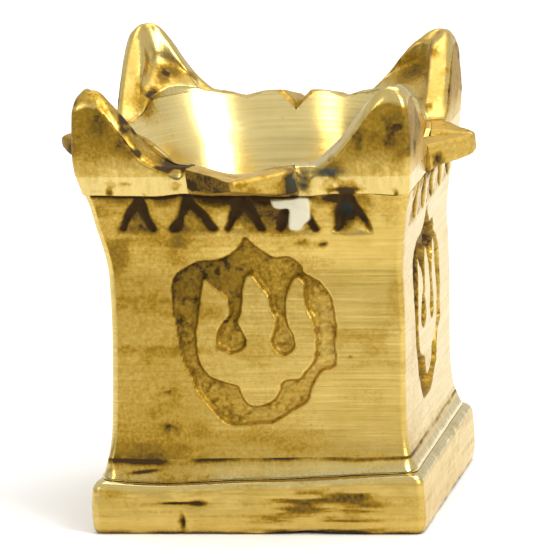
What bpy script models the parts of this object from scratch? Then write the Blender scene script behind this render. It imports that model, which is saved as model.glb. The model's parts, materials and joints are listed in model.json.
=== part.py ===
"""Small square brass candle holder with a horned crown, four beak-shaped lips and a turned cup.

The object stands on z = 0, its axis is the Z axis and its front face looks along -Y.
It is built up from the plinth: plinth, cove, hollow shaft, frieze collar, then a crown of
four corner horns and four lips, with a thin turned cup let in from above.
"""
import math

import bmesh
import bpy
from mathutils import Matrix, Vector

MM = 0.001

# Driving dimensions, in millimetres
GAP = 0.3                      # soldered faces stay this far apart
PLINTH_SIDE = 50.0             # square foot, near the floor
PLINTH_TOP_SIDE = 49.2
PLINTH_EDGE = 0.5              # worn top and bottom edges of the foot
WAIST_SIDE = 43.8              # slimmest part of the shaft
CROWN_SIDE = 50.4              # widest part of the crown
PLINTH_HEIGHT = 8.2
COVE_TOP = 11.2
SHAFT_TOP = 44.4
COLLAR_TOP = 51.0
RIM_HEIGHT = 55.2
HORN_HEIGHT = 67.0
LIP_REACH = 32.2               # axis to the tip of a lip
LIP_TIP_THICKNESS = 2.0
LIP_HALF_ANGLE = 18.2          # a lip takes this much of the crown on each side of its middle
GROOVE_WIDTH = 4.6
GROOVE_DEPTH = 1.6
ARRIS = 0.8                    # rounding of the vertical corner edges
FOOT_FLARE = 2.6               # the shaft spreads this much where it meets the foot
FOOT_FLARE_FADE = 2.6          # height over which most of that spread fades
CROWN_FLARE_START = 37.9       # the crown widens between these two heights
CROWN_FLARE_END = 57.6
HORN_LEAN = 0.005              # the horns lean in above the flare, per square millimetre

CUP_FLOOR_RADIUS = 19.4        # takes a 38 mm candle
CUP_RIM_RADIUS = 23.2
CUP_FLOOR = 38.4
CUP_WALL = 0.7
CUP_TAPER_START = 41.0
CUP_FILLET = 2.4               # between the cup's floor and its wall
CORE_RADIUS = 16.5             # hollow of the shaft under the cup

HORN_START = 9.6               # where a horn's slope begins, from the middle of a face
HORN_END = 24.0                # where it reaches the tip
HORN_FOOT = 54.0               # height of the slope where it begins
HORN_BEVEL = 1.2               # the crest is this much higher than the outer edge
HORN_CURVE = 1.1               # above 1, the slope starts slowly and steepens later
HORN_TIP_SPREAD = 6.0          # degrees round the corner over which the tip is rounded
HORN_TIP_DROP = 2.0            # the inner edge falls away by this much at the tip
HORN_INSIDE = 21.7             # half width of the square space inside the horns
HORN_INSIDE_RADIUS = 3.0
SQUINCH_FOOT = 58.0            # the round bore turns into the square space above this
SQUINCH_SLOPE = 0.67

CARTOUCHE_MIDDLE = 28.6
CARTOUCHE_HALF_HEIGHT = 12.6
CARTOUCHE_HALF_WIDTH = 11.9
CARTOUCHE_DEPTH = 0.6
CARTOUCHE_BAND = 3.2
NOTCH_DEPTH = 0.5
NOTCH_HEIGHT = 5.6
NOTCH_WIDTH = 5.2
NOTCH_PITCH = 7.6

ROUND_STEPS = 48


def smoothstep(value):
    value = min(max(value, 0.0), 1.0)
    return value * value * (3.0 - 2.0 * value)


def half_width(height):
    """Half the side of the square body: slim waist, flared foot, flared crown, tips leaning in."""
    foot = FOOT_FLARE * math.exp(-(height - PLINTH_HEIGHT) / FOOT_FLARE_FADE)
    rise = (height - CROWN_FLARE_START) / (CROWN_FLARE_END - CROWN_FLARE_START)
    crown = (CROWN_SIDE - WAIST_SIDE) / 2 * smoothstep(rise)
    lean = HORN_LEAN * max(height - CROWN_FLARE_END, 0.0) ** 2
    return WAIST_SIDE / 2 + foot + crown - lean


def cup_radius(height):
    """Inner radius of the cup: nearly straight at the floor, belling out to the rim."""
    rise = (height - CUP_TAPER_START) / (RIM_HEIGHT - CUP_TAPER_START)
    return CUP_FLOOR_RADIUS + (CUP_RIM_RADIUS - CUP_FLOOR_RADIUS) * smoothstep(rise)


def square_radius(half, corner, angle):
    """Distance from the axis to a square with rounded corners, at an angle from a face's middle."""
    angle = abs((angle + 45.0) % 90.0 - 45.0)
    cosine, sine = math.cos(math.radians(angle)), math.sin(math.radians(angle))
    straight = half - corner
    if half * sine / cosine <= straight:
        return half / cosine
    along = straight * (cosine + sine)
    return along + math.sqrt(max(along * along - 2 * straight * straight + corner * corner, 0.0))


def at_angle(radius, angle, height):
    """Point at a radius and height, the angle counted from the front (-Y) towards +X."""
    turn = math.radians(angle)
    return Vector((radius * math.sin(turn), -radius * math.cos(turn), height)) * MM


def material(name, color, roughness):
    made = bpy.data.materials.new(name)
    made.use_nodes = True
    shader = made.node_tree.nodes["Principled BSDF"]
    shader.inputs["Base Color"].default_value = (*color, 1.0)
    shader.inputs["Metallic"].default_value = 1.0
    shader.inputs["Roughness"].default_value = roughness
    return made


def finish_object(name, mesh, mat):
    """Turn a bmesh into a named object with its faces pointing out."""
    bmesh.ops.remove_doubles(mesh, verts=mesh.verts, dist=1e-7)
    bmesh.ops.recalc_face_normals(mesh, faces=mesh.faces)
    data = bpy.data.meshes.new(name)
    mesh.to_mesh(data)
    mesh.free()
    data.shade_smooth()
    data.set_sharp_from_angle(angle=math.radians(30))
    made = bpy.data.objects.new(name, data)
    bpy.context.scene.collection.objects.link(made)
    if mat:
        data.materials.append(mat)
    return made


def skin(name, sections, mat=None, closed=False):
    """Solid through a row of closed outlines with the same number of points."""
    mesh = bmesh.new()
    rows = [[mesh.verts.new(point) for point in section] for section in sections]
    pairs = list(zip(rows, rows[1:] + rows[:1] if closed else rows[1:]))
    for low, high in pairs:
        for index in range(len(low)):
            after = (index + 1) % len(low)
            mesh.faces.new((low[index], low[after], high[after], high[index]))
    if not closed:
        mesh.faces.new(rows[0])
        mesh.faces.new(rows[-1])
    return finish_object(name, mesh, mat)


def turned(name, profile, mat=None):
    """Solid of revolution; the profile runs from the axis, around the section, back to the axis."""
    mesh = bmesh.new()
    verts = [mesh.verts.new(Vector((radius, 0.0, height)) * MM) for radius, height in profile]
    edges = [mesh.edges.new(pair) for pair in zip(verts, verts[1:])]
    bmesh.ops.spin(mesh, geom=verts + edges, axis=(0, 0, 1), cent=(0, 0, 0),
                   angle=math.tau, steps=ROUND_STEPS, use_merge=True)
    return finish_object(name, mesh, mat)


def square_outline(half, height):
    """Closed square outline with rounded corners, at one height."""
    angles = []
    for side in range(4):
        for step in (-44.0, -42.6, 0.0, 42.6, 44.0, 45.0):
            angles.append(90.0 * side + step)
    return [at_angle(square_radius(half, ARRIS, angle), angle, height) for angle in angles]


def square_block(name, low, high, steps, mat):
    """Square block between two heights that follows the body's outline."""
    heights = [low + (high - low) * step / steps for step in range(steps + 1)]
    return skin(name, [square_outline(half_width(height), height) for height in heights], mat)


def cut(target, cutter):
    """Take the cutter out of the target; the cutter stays as a hidden guide."""
    cutter.hide_render = True
    cutter.display_type = 'WIRE'
    boolean = target.modifiers.new("cut", 'BOOLEAN')
    boolean.operation = 'DIFFERENCE'
    boolean.solver = 'EXACT'
    boolean.object = cutter


def cup_outside(extra):
    """Profile of the cup's outside, from the axis at the bottom up to the rim."""
    bottom = CUP_FLOOR - CUP_WALL - extra
    profile = [(0.0, bottom), (CUP_FLOOR_RADIUS + CUP_WALL + extra - 2.0, bottom)]
    for step in range(13):
        height = CUP_TAPER_START + (RIM_HEIGHT - CUP_TAPER_START) * step / 12
        profile.append((cup_radius(height) + CUP_WALL + extra, height))
    return profile


def make_cup(mat):
    """Thin turned cup: a flat floor, a filleted corner and a bell-shaped wall."""
    outside = cup_outside(0.0)
    inside = []
    for step in range(13):
        height = CUP_TAPER_START + (RIM_HEIGHT - CUP_TAPER_START) * (12 - step) / 12
        inside.append((cup_radius(height), height))
    inside += [(CUP_FLOOR_RADIUS - 0.3 * CUP_FILLET, CUP_FLOOR + 0.2 * CUP_FILLET),
               (CUP_FLOOR_RADIUS - CUP_FILLET, CUP_FLOOR)]
    cup = turned("cup", outside + inside + [(0.0, CUP_FLOOR)], mat)
    for cutter in groove_cutters("cup_groove"):
        cut(cup, cutter)
    return cup


def groove_cutters(name):
    """Two V bars laid across the rim, which cut the pouring grooves of the four lips."""
    cutters = []
    for number, direction in enumerate((Vector((1, 0, 0)), Vector((0, 1, 0)))):
        across = Vector((-direction.y, direction.x, 0))
        sections = []
        for reach, depth in ((-LIP_REACH, 0.05), (-CUP_RIM_RADIUS, GROOVE_DEPTH),
                             (CUP_RIM_RADIUS, GROOVE_DEPTH), (LIP_REACH, 0.05)):
            half = GROOVE_WIDTH / 2 * depth / GROOVE_DEPTH
            middle = direction * reach
            lift = 1.0 + half / (GROOVE_WIDTH / 2)
            top = RIM_HEIGHT + lift
            wide = half * (depth + lift) / depth
            sections.append([(middle + Vector((0, 0, RIM_HEIGHT - depth))) * MM,
                             (middle + across * wide + Vector((0, 0, top))) * MM,
                             (middle - across * wide + Vector((0, 0, top))) * MM])
        cutters.append(skin(f"{name}_{number}", sections))
    return cutters


def shield(inset, height):
    """Half outline of the cartouche, top to bottom: an ogee tip, full shoulders, a round foot."""
    points = []
    tall, wide = CARTOUCHE_HALF_HEIGHT - inset, CARTOUCHE_HALF_WIDTH - inset
    for step in range(13):
        angle = math.radians(90.0 - 15.0 * step)
        narrow = 1.0 - 0.22 * smoothstep(-math.sin(angle))
        side = wide * narrow * abs(math.cos(angle)) ** 0.75
        points.append((side, CARTOUCHE_MIDDLE + tall * math.sin(angle)))
    points[0] = (0.0, height)
    points.insert(1, (1.4, CARTOUCHE_MIDDLE + tall + 0.5))
    return points


def cartouche_cutter(side):
    """Band that follows the shield outline, sunk a little below the face."""
    outer = shield(0.0, SHAFT_TOP - 0.6)
    inner = shield(CARTOUCHE_BAND, SHAFT_TOP - 5.2)
    outer = outer + [(-x, z) for x, z in reversed(outer[1:-1])]
    inner = inner + [(-x, z) for x, z in reversed(inner[1:-1])]
    turn = Matrix.Rotation(math.radians(90.0 * side), 4, 'Z')
    sections = []
    for (xo, zo), (xi, zi) in zip(outer, inner):
        sunk_outer = -(half_width(zo) - CARTOUCHE_DEPTH)
        sunk_inner = -(half_width(zi) - CARTOUCHE_DEPTH)
        clear = -(half_width(SHAFT_TOP) + 2.0)
        ring = [Vector((xo, sunk_outer, zo)), Vector((xo, clear, zo)),
                Vector((xi, clear, zi)), Vector((xi, sunk_inner, zi))]
        sections.append([turn @ (point * MM) for point in ring])
    return skin(f"cartouche_{side}", sections, closed=True)


def notch_cutters(side):
    """Five pointed notches in one face of the collar, between its six tongues."""
    low = SHAFT_TOP - 1.0
    turn = Matrix.Rotation(math.radians(90.0 * side), 4, 'Z')
    grow = (NOTCH_HEIGHT + 1.0 + GAP) / NOTCH_HEIGHT
    for number in range(5):
        middle = (number - 2) * NOTCH_PITCH
        top = SHAFT_TOP + GAP + NOTCH_HEIGHT
        sections = []
        for clear in (0.0, NOTCH_DEPTH + 2.0):
            bottom_y = -(half_width(low + 1.0) - NOTCH_DEPTH) - clear
            top_y = -(half_width(top) - NOTCH_DEPTH) - clear
            half = NOTCH_WIDTH / 2 * grow
            triangle = [Vector((middle - half, bottom_y, low)), Vector((middle + half, bottom_y, low)),
                        Vector((middle, top_y, top))]
            sections.append([turn @ (point * MM) for point in triangle])
        yield skin(f"notch_{side}_{number}", sections)


def seat_cutter(name):
    """The cup's outside with the soldering gap, open at the top."""
    profile = cup_outside(GAP)
    rim = (profile[-1][0], RIM_HEIGHT + 2.0)
    return turned(name, profile + [rim, (0.0, RIM_HEIGHT + 2.0)])


def core_cutter(name, low, high):
    """Round core through the shaft and the cove."""
    return turned(name, [(0.0, low), (CORE_RADIUS, low), (CORE_RADIUS, high), (0.0, high)])


def make_horn(name, corner_angle, mat):
    """Corner horn: an L-shaped wall whose top slopes up to a rounded tip over the corner."""
    low = COLLAR_TOP + GAP
    edge = LIP_HALF_ANGLE + math.degrees(GAP / CUP_RIM_RADIUS)
    sections = []
    steps = 20
    for step in range(steps + 1):
        offset = -(45.0 - edge) + 2 * (45.0 - edge) * step / steps
        from_face = 45.0 - abs(offset)
        angle = corner_angle + offset
        along = CROWN_SIDE / 2 * math.tan(math.radians(from_face))
        slope = max(along - HORN_START, 0.0) / (HORN_END - HORN_START)
        rise = smoothstep(slope ** HORN_CURVE)
        bevel = HORN_BEVEL * min(slope * 3.0, 1.0)
        crest = HORN_FOOT + bevel + (HORN_HEIGHT - HORN_FOOT - HORN_BEVEL) * rise
        at_tip = math.exp(-(offset / HORN_TIP_SPREAD) ** 2)
        outer_top = crest - bevel
        inner_top = crest - 0.1 - HORN_TIP_DROP * at_tip
        bore = cup_radius(RIM_HEIGHT)
        wall = max(square_radius(HORN_INSIDE, HORN_INSIDE_RADIUS, from_face), bore + 0.05)
        squinch = SQUINCH_FOOT + SQUINCH_SLOPE * (wall - bore)
        shelf = RIM_HEIGHT + GAP
        if inner_top < squinch + 0.2:
            squinch = shelf + 0.7 * (inner_top - shelf)
        foot = min(SQUINCH_FOOT, shelf + 0.35 * (inner_top - shelf))
        foot = min(foot, squinch - 0.02)
        if inner_top < shelf + 0.1:
            inner_top = shelf + 0.1
            crest = inner_top + 0.05
            foot = shelf + 0.03
            squinch = shelf + 0.06
        outside = [low + (outer_top - low) * part / 5 for part in range(6)]
        section = [(cup_radius(low) + CUP_WALL + GAP, low)]
        section += [(square_radius(half_width(z), ARRIS, angle), z) for z in outside]
        top_outer = section[-1][0]
        crest_radius = wall + (top_outer - wall) * (0.12 + 0.6 * at_tip)
        section.append((crest_radius, crest))
        section.append((wall, inner_top))
        section.append((wall, squinch))
        section.append((bore, foot))
        section.append((bore, shelf))
        section.append((cup_radius(RIM_HEIGHT) + CUP_WALL + GAP, shelf))
        section.append((cup_radius(53.0) + CUP_WALL + GAP, 53.0))
        sections.append([at_angle(radius, angle, height) for radius, height in section])
    return skin(name, sections, mat)


def lip_reach(angle):
    """Distance from the axis to the lip's edge: a straight line from its root corner to its tip."""
    root = CROWN_SIDE / 2
    corner = root * math.tan(math.radians(LIP_HALF_ANGLE))
    turn = math.radians(abs(angle))
    return LIP_REACH / (math.cos(turn) + math.sin(turn) * (LIP_REACH - root) / corner)


def make_lip(name, face_angle, mat):
    """Beak-shaped lip: flat on top, its underside rising to a blunt tip, with a pouring groove."""
    low = COLLAR_TOP + GAP
    face = half_width(low)
    sections = []
    steps = 12
    for step in range(steps + 1):
        offset = LIP_HALF_ANGLE * (2 * step / steps - 1)
        reach = lip_reach(offset)
        cosine = math.cos(math.radians(offset))
        root = face / cosine
        share = (reach - root) / (LIP_REACH - face)
        under = low + 0.05 + (RIM_HEIGHT - LIP_TIP_THICKNESS - low) * share
        section = [(cup_radius(low) + CUP_WALL + GAP, low), (root, low), (reach, under),
                   (reach + 0.02, RIM_HEIGHT), (CUP_RIM_RADIUS + CUP_WALL + GAP, RIM_HEIGHT),
                   (cup_radius(53.0) + CUP_WALL + GAP, 53.0)]
        angle = face_angle + offset
        sections.append([at_angle(radius, angle, height) for radius, height in section])
    lip = skin(name, sections, mat)
    for cutter in groove_cutters(name + "_groove"):
        cut(lip, cutter)
    return lip


def build():
    for old in list(bpy.data.objects):
        bpy.data.objects.remove(old, do_unlink=True)

    brushed = material("brushed_brass", (0.74, 0.55, 0.24), 0.34)
    cast = material("cast_brass", (0.62, 0.44, 0.17), 0.5)
    polished = material("turned_brass", (0.83, 0.68, 0.36), 0.16)

    top, foot = PLINTH_TOP_SIDE / 2, PLINTH_SIDE / 2
    skin("plinth", [square_outline(foot - PLINTH_EDGE, 0.0), square_outline(foot, PLINTH_EDGE),
                    square_outline(top, PLINTH_HEIGHT - PLINTH_EDGE),
                    square_outline(top - PLINTH_EDGE, PLINTH_HEIGHT)], brushed)

    cove = square_block("foot_cove", PLINTH_HEIGHT + GAP, COVE_TOP, 5, cast)
    cut(cove, core_cutter("cove_core", PLINTH_HEIGHT - 1.0, COVE_TOP + 1.0))

    shaft = square_block("shaft", COVE_TOP + GAP, SHAFT_TOP, 14, brushed)
    cut(shaft, seat_cutter("shaft_seat"))
    cut(shaft, core_cutter("shaft_core", COVE_TOP - 1.0, CUP_FLOOR))
    for side in range(4):
        cut(shaft, cartouche_cutter(side))

    collar = square_block("frieze_collar", SHAFT_TOP + GAP, COLLAR_TOP, 4, cast)
    cut(collar, seat_cutter("collar_seat"))
    for side in range(4):
        for cutter in notch_cutters(side):
            cut(collar, cutter)

    make_cup(polished)
    for name, angle in (("front_right", 45.0), ("back_right", 135.0),
                        ("back_left", 225.0), ("front_left", 315.0)):
        make_horn("horn_" + name, angle, brushed)
    for name, angle in (("front", 0.0), ("right", 90.0), ("back", 180.0), ("left", 270.0)):
        make_lip("lip_" + name, angle, cast)


build()
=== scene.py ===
# %% [markdown]
# # A horned brass candle holder
# A small cast holder for one votive candle: a square foot, a waisted shaft with a sunk shield on
# each face, a frieze of pointed notches, a turned cup, and a crown of four corner horns and four
# beak-shaped lips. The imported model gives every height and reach. This lesson gives each piece
# its real surface: the file marks, the chiselled ground, the worn edges and the brown dirt.
#
# Every surface is worked out in millimetres with numpy, as a grid of points, and turned into a
# mesh in one go. That keeps each shape readable as a formula, and easy to change.

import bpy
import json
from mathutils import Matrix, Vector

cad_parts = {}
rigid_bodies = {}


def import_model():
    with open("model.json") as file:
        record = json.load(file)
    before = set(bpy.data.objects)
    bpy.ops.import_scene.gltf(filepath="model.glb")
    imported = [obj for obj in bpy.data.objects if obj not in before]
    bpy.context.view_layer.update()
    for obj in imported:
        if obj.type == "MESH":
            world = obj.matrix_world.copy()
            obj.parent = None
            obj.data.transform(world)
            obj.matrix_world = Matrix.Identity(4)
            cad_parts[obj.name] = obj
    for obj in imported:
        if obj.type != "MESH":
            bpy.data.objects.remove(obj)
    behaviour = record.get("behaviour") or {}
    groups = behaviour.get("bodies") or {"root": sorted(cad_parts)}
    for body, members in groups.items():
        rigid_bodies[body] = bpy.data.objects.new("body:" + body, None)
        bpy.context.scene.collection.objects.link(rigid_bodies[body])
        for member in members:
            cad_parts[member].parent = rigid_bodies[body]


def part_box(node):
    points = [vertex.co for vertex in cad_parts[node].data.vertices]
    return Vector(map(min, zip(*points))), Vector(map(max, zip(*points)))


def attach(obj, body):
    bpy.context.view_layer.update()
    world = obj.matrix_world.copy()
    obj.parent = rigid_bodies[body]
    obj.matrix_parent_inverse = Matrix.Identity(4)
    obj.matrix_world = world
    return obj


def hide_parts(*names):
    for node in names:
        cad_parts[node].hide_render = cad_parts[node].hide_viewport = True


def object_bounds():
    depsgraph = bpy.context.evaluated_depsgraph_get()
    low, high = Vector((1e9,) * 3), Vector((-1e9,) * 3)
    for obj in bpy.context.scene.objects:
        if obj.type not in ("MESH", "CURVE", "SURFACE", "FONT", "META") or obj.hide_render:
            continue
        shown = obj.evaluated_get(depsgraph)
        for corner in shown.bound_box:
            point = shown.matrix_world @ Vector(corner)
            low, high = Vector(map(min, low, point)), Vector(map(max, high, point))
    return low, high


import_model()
cad_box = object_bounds()

# %% Heights and reaches, in millimetres, read from the model
import itertools
import json
import math

import bmesh
import bpy
import numpy as np
from mathutils import Matrix, Vector

MM = 0.001
PLINTH_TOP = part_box("plinth")[1][2] / MM
COVE_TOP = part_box("foot_cove")[1][2] / MM
SHAFT_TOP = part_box("shaft")[1][2] / MM
COLLAR_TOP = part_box("frieze_collar")[1][2] / MM
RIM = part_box("cup")[1][2] / MM
TIP = cad_box[1][2] / MM
LIP_REACH = cad_box[1][0] / MM
FOOT_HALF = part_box("plinth")[1][0] / MM
# Read off the shape itself: half widths, the rounding of the arrises, the bore's top between the
# horns, the radius of the hollow core, and half the gap between two pieces.
CROWN_HALF, WAIST_HALF = 25.2, 21.9
ARRIS = 1.0
BORE_TOP = 58.0
CORE_RADIUS = 16.5
SEAM = 0.02
print("plinth", PLINTH_TOP, "shaft", SHAFT_TOP, "rim", RIM, "horn tips", TIP, "lips", LIP_REACH)

# %% [markdown]
# ## Tools for every piece
# A handmade casting is never quite smooth or straight, so the first tool is a smooth random
# number that depends only on the place. It could come from Blender's displace modifier, but then
# the dirt could not follow the same bumps. The second tool turns a grid of points into a mesh.

# %% Smooth steps and smooth random numbers
def smoothstep(value):
    """0 below 0, 1 above 1, and 3v^2 - 2v^3 between."""
    value = np.clip(value, 0.0, 1.0)
    return value * value * (3.0 - 2.0 * value)


def noise(points, pitch, seed):
    """Random values on a cubic lattice of the given pitch, blended smoothly between them."""
    table = np.random.default_rng(seed).uniform(-1.0, 1.0, (32, 32, 32))
    cell = points / pitch
    base = np.floor(cell).astype(int)
    part = smoothstep(cell - base)
    total = np.zeros(points.shape[:-1])
    for corner in itertools.product((0, 1), repeat=3):
        weight = np.prod(np.where(corner, part, 1.0 - part), axis=-1)
        spot = (base + corner) % 32
        total += weight * table[spot[..., 0], spot[..., 1], spot[..., 2]]
    return total


def rough(points, pitch, seed):
    """Three layers of noise, each half the pitch and half the height of the one before."""
    return sum(noise(points, pitch / 2 ** n, seed + n) / 2 ** n for n in range(3)) / 1.75


def blot(along, height, middle, level, wide, tall):
    """A soft round spot: 1 at its middle, fading as exp(-distance^2)."""
    return np.exp(-((along - middle) / wide) ** 2 - ((height - level) / tall) ** 2)


# %% Normals, and closed ends
def grid_normals(points, loop_rows, loop_columns):
    """Unit normal at each grid point: the cross product of the two grid directions."""
    def step(axis, looped):
        if looped:
            return np.roll(points, -1, axis) - np.roll(points, 1, axis)
        return np.gradient(points, axis=axis)
    cross = np.cross(step(1, loop_columns), step(0, loop_rows))
    return cross / np.maximum(np.linalg.norm(cross, axis=-1, keepdims=True), 1e-9)


def outward_normals(points, station, spot):
    """Normals of a row of closed sections, all turned so that one outer spot's points outwards."""
    normals = grid_normals(points, False, True)
    away = points[station, spot] * np.array([1, 1, 0])
    return normals * np.sign(np.sum(normals[station, spot] * away))


def close_ends(points):
    """A row of closed sections with both ends drawn in to the middle of the end section."""
    first = points[:1].mean(1, keepdims=True) + 0 * points[:1]
    last = points[-1:].mean(1, keepdims=True) + 0 * points[-1:]
    return np.concatenate([first, points, last])


# %% From a grid of points to a mesh
SHARP_FOLD = 60.0


def make_piece(name, points, loop_rows=True, loop_columns=True, **layers):
    """Mesh of quads over a (rows, columns, 3) grid in millimetres; layers are values per point.

    Points of a pole fall together and are merged, and the normals are turned outwards. Folds
    steeper than SHARP_FOLD degrees are shaded sharp.
    """
    rows, columns = points.shape[:2]
    index = np.arange(rows * columns).reshape(rows, columns)
    if loop_rows:
        index = np.vstack([index, index[:1]])
    if loop_columns:
        index = np.hstack([index, index[:, :1]])
    quads = np.stack([index[:-1, :-1], index[:-1, 1:], index[1:, 1:], index[1:, :-1]], axis=-1)
    quads = quads.reshape(-1, 4)
    mesh = bpy.data.meshes.new(name)
    mesh.vertices.add(rows * columns)
    mesh.vertices.foreach_set("co", (settle(points) * MM).astype(np.float32).ravel())
    mesh.loops.add(quads.size)
    mesh.loops.foreach_set("vertex_index", quads.ravel().astype(np.int32))
    mesh.polygons.add(len(quads))
    mesh.polygons.foreach_set("loop_start", np.arange(0, quads.size, 4, dtype=np.int32))
    mesh.update(calc_edges=True)
    for layer, values in layers.items():
        field = mesh.attributes.new(layer, 'FLOAT', 'POINT')
        field.data.foreach_set("value", np.clip(values, 0.0, 1.0).astype(np.float32).ravel())
    work = bmesh.new()
    work.from_mesh(mesh)
    bmesh.ops.remove_doubles(work, verts=work.verts, dist=2e-6)
    bmesh.ops.recalc_face_normals(work, faces=work.faces)
    work.to_mesh(mesh)
    work.free()
    mesh.shade_smooth()
    mesh.set_sharp_from_angle(angle=math.radians(SHARP_FOLD))
    piece = bpy.data.objects.new(name, mesh)
    bpy.context.scene.collection.objects.link(piece)
    print(f"{name}: {len(mesh.polygons)} faces")
    return piece


# %% Sections with rounded corners
def rounded(corners, radii, runs, curve):
    """Closed sections whose corners are rounded, for all stations at once.

    corners is (stations, corners, 2). Round each corner runs a quadratic curve from a point one
    radius before it to a point one radius after it. runs says how many points are spread evenly
    on the straight part after each corner.
    """
    count = corners.shape[1]
    radii = np.broadcast_to(np.asarray(radii, dtype=float), corners.shape[:2])
    pieces = []
    for number in range(count):
        here = corners[:, number]
        before = corners[:, number - 1] - here
        after = corners[:, (number + 1) % count] - here
        long_before = np.maximum(np.linalg.norm(before, axis=-1), 1e-6)
        long_after = np.maximum(np.linalg.norm(after, axis=-1), 1e-6)
        start = here + before * np.minimum(0.45, radii[:, number] / long_before)[:, None]
        end = here + after * np.minimum(0.45, radii[:, number] / long_after)[:, None]
        t = np.linspace(0.0, 1.0, curve)[None, :, None]
        arc = ((1 - t) ** 2 * start[:, None] + 2 * t * (1 - t) * here[:, None]
               + t ** 2 * end[:, None])
        follow = (number + 1) % count
        next_before = -after
        next_start = corners[:, follow] + next_before * np.minimum(
            0.45, radii[:, follow] / long_after)[:, None]
        s = np.linspace(0.0, 1.0, runs[number] + 2)[None, 1:-1, None]
        pieces += [arc, (1 - s) * end[:, None] + s * next_start[:, None]]
    return np.concatenate(pieces, axis=1)


def wrap(radius, height, angle):
    """Points at a radius and height, the angle in degrees from the front towards the right."""
    turn = np.radians(angle)
    return np.stack([radius * np.sin(turn), -radius * np.cos(turn), height + 0.0 * radius], axis=-1)


# %% [markdown]
# ## The outline of the body
# The whole body is a square with slightly rounded arrises whose width changes with height: it
# flares into the foot, is slim at the waist and opens into the crown. One formula serves the
# shaft, the collar and the horns, so their faces meet without a step.

# %% Half the width of the body at any height
FOOT_FLARE, FOOT_FLARE_START, FOOT_FLARE_FADE = 2.6, 7.8, 2.6
CROWN_FLARE_START, CROWN_FLARE_END = 37.9, 57.6
HORN_LEAN = 0.005


def half_width(height):
    """Waist, plus an exponential flare at the foot, plus a smooth step up to the crown.

    Above the crown's flare the horns lean in by HORN_LEAN times the height squared.
    """
    height = np.asarray(height, dtype=float)
    foot = FOOT_FLARE * np.exp(-(height - FOOT_FLARE_START) / FOOT_FLARE_FADE)
    crown_share = (height - CROWN_FLARE_START) / (CROWN_FLARE_END - CROWN_FLARE_START)
    crown = (CROWN_HALF - WAIST_HALF) * smoothstep(crown_share)
    lean = HORN_LEAN * np.maximum(height - CROWN_FLARE_END, 0.0) ** 2
    return WAIST_HALF + np.where(height > PLINTH_TOP, foot, 0.0) + crown - lean


def from_face(angle):
    """Degrees from the middle of the nearest face, 0 to 45."""
    return np.abs((angle + 45.0) % 90.0 - 45.0)


def square_radius(half, corner, angle):
    """Distance from the axis to a square with rounded corners, in the direction of an angle."""
    angle = from_face(angle)
    cosine, sine = np.cos(np.radians(angle)), np.sin(np.radians(angle))
    middle = half - corner
    along = middle * (cosine + sine)
    arc = along + np.sqrt(np.maximum(along ** 2 - 2 * middle ** 2 + corner ** 2, 0.0))
    return np.where(half * sine / cosine <= middle, half / cosine, arc)


# %% How crooked the casting is
WAIST_LEAN, CROWN_LEAN = 0.6, 0.4
EDGE_CLIMB, EDGE_SAG = 0.9, 0.6
JOINT_WAVER = 0.28


def settle(points):
    """The crookedness of the whole casting, added to every point in millimetres.

    The waist leans to the right as exp(-distance^2) from its middle, and the crown to the left
    by a smooth step. The top edge of the foot sags left of the middle and climbs to the right.
    The joint under the crown wavers up and down.
    """
    x, height = points[..., 0], points[..., 2]
    lean = WAIST_LEAN * np.exp(-((height - 32.0) / 13.0) ** 2)
    lean = lean - CROWN_LEAN * smoothstep((height - 49.0) / 6.0)
    edge = smoothstep((height - 3.0) / 4.5) * (1.0 - smoothstep((height - 8.4) / 4.5))
    climb = EDGE_CLIMB * smoothstep(x / 24.0) - EDGE_SAG * np.exp(-((x + 14.0) / 9.0) ** 2)
    near_joint = np.exp(-((height - COLLAR_TOP) / 1.6) ** 2)
    waver = JOINT_WAVER * near_joint * noise(points * np.array([1.0, 1.0, 0.0]), 4.5, 15)
    return points + np.stack([lean, 0.0 * lean, edge * climb + waver], axis=-1)


# %% Columns round the square, and rows that follow it
def square_columns(shares, arc_steps=5):
    """Directions for one turn round a rounded square: along each face, then round its corner.

    Returns the straight part, the outward direction, the face's number and the share along it.
    A point of the outline is (half - corner) * straight + corner * outward.
    """
    straight, outward, face, share = [], [], [], []
    for number in range(4):
        turn = number * math.pi / 2
        normal = np.array([math.sin(turn), -math.cos(turn)])
        side = np.array([math.cos(turn), math.sin(turn)])
        straight.append(normal + shares[:, None] * side)
        outward.append(np.repeat(normal[None], len(shares), axis=0))
        bend = np.linspace(0, math.pi / 2, arc_steps + 2)[1:-1, None]
        straight.append(np.repeat((normal + side)[None], arc_steps, axis=0))
        outward.append(np.cos(bend) * normal + np.sin(bend) * side)
        face += [number] * (len(shares) + arc_steps)
        share.append(np.concatenate([shares, np.full(arc_steps, 1.0)]))
    return np.vstack(straight), np.vstack(outward), np.array(face), np.concatenate(share)


def square_rows(columns, half, height, corner, depth=0.0):
    """Grid of points on the square body; depth sinks each point below the face."""
    straight, outward = columns[0][None], columns[1][None]
    half = np.asarray(half)[:, None, None]
    flat = (half - corner) * straight + (corner - np.asarray(depth)[..., None]) * outward
    tall = np.broadcast_to(np.asarray(height)[:, None, None], flat.shape[:2] + (1,))
    return np.concatenate([flat, tall], axis=-1)


def round_rows(columns, radius, height):
    """Rows on circles, with the same columns as the square rows around them."""
    unit = columns[0] / np.linalg.norm(columns[0], axis=-1, keepdims=True)
    flat = np.asarray(radius)[:, None, None] * unit[None]
    tall = np.broadcast_to(np.asarray(height)[:, None, None], flat.shape[:2] + (1,))
    return np.concatenate([flat, tall], axis=-1)


def shares_with_detail(detail_half, whole_half, fine, coarse):
    """Shares from -1 to 1 along a face, close together where the carving is."""
    edge = detail_half / whole_half
    return np.concatenate([np.linspace(-1, -edge, coarse + 1)[:-1],
                           np.linspace(-edge, edge, fine), np.linspace(edge, 1, coarse + 1)[1:]])


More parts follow.
